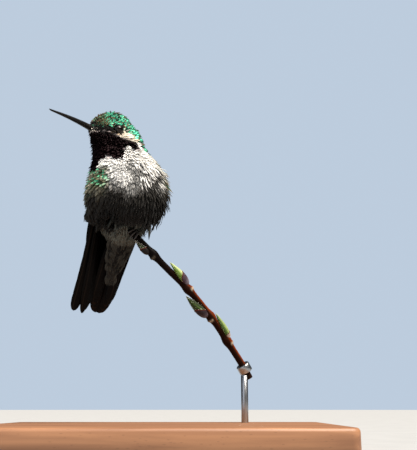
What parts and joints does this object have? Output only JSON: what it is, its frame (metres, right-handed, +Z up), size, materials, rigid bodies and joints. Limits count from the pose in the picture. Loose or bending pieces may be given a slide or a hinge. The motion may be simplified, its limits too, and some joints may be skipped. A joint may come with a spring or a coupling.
{
  "type": "hummingbird",
  "caption": "Perched male broad-tailed hummingbird, fluffed up with its head turned aside, on a short budding twig held over a small base by a rod.",
  "frame": {"origin": "centre of the underside of the display base", "axes": "+Z up, -Y towards the viewer that the breast faces, +X to that viewer's right; the bill points to -X and -Y"},
  "size_m": [0.112, 0.076, 0.1162],
  "materials": {
    "green_plumage": "iridescent green feather vanes, satin",
    "gorget_plumage": "near-black gorget scales with a rose sheen",
    "pale_plumage": "soft white and pale grey body feathers, matt",
    "grey_plumage": "soft dusky grey belly feathers, matt",
    "flight_feathers": "dusky brown-black flight feathers, low sheen",
    "bill_horn": "smooth black horn, semi-gloss",
    "eye": "wet dark brown eye, high gloss",
    "foot_skin": "scaly blackish skin",
    "bark": "thin red-brown willow bark, satin",
    "bud_scale": "grey-brown bud scale, matt",
    "bud_green": "pale green downy bud tip",
    "stand_wood": "oiled beech, satin",
    "stand_steel": "brushed steel rod and collar"
  },
  "bodies": {
    "root": {"head": "green_plumage", "neck": "gorget_plumage", "breast": "pale_plumage", "belly": "grey_plumage", "rump": "green_plumage", "bill_upper": "bill_horn", "bill_lower": "bill_horn", "eye_left": "eye", "eye_right": "eye", "tail": "flight_feathers", "undertail_coverts": "pale_plumage", "uppertail_coverts": "green_plumage", "wing_right": "flight_feathers", "wing_left": "flight_feathers", "foot_right": "foot_skin", "leg_right": "foot_skin", "claw_right_1": "bill_horn", "claw_right_2": "bill_horn", "claw_right_3": "bill_horn", "claw_right_4": "bill_horn", "foot_left": "foot_skin", "leg_left": "foot_skin", "claw_left_1": "bill_horn", "claw_left_2": "bill_horn", "claw_left_3": "bill_horn", "claw_left_4": "bill_horn", "perch_twig": "bark", "bud_scale_1": "bud_scale", "bud_1": "bud_green", "bud_scale_2": "bud_scale", "bud_2": "bud_green", "bud_scale_3": "bud_scale", "bud_3": "bud_green", "bud_scale_4": "bud_scale", "bud_4": "bud_green", "stand_base": "stand_wood", "stand_rod": "stand_steel", "stand_collar": "stand_steel"}
  },
  "joints": []
}
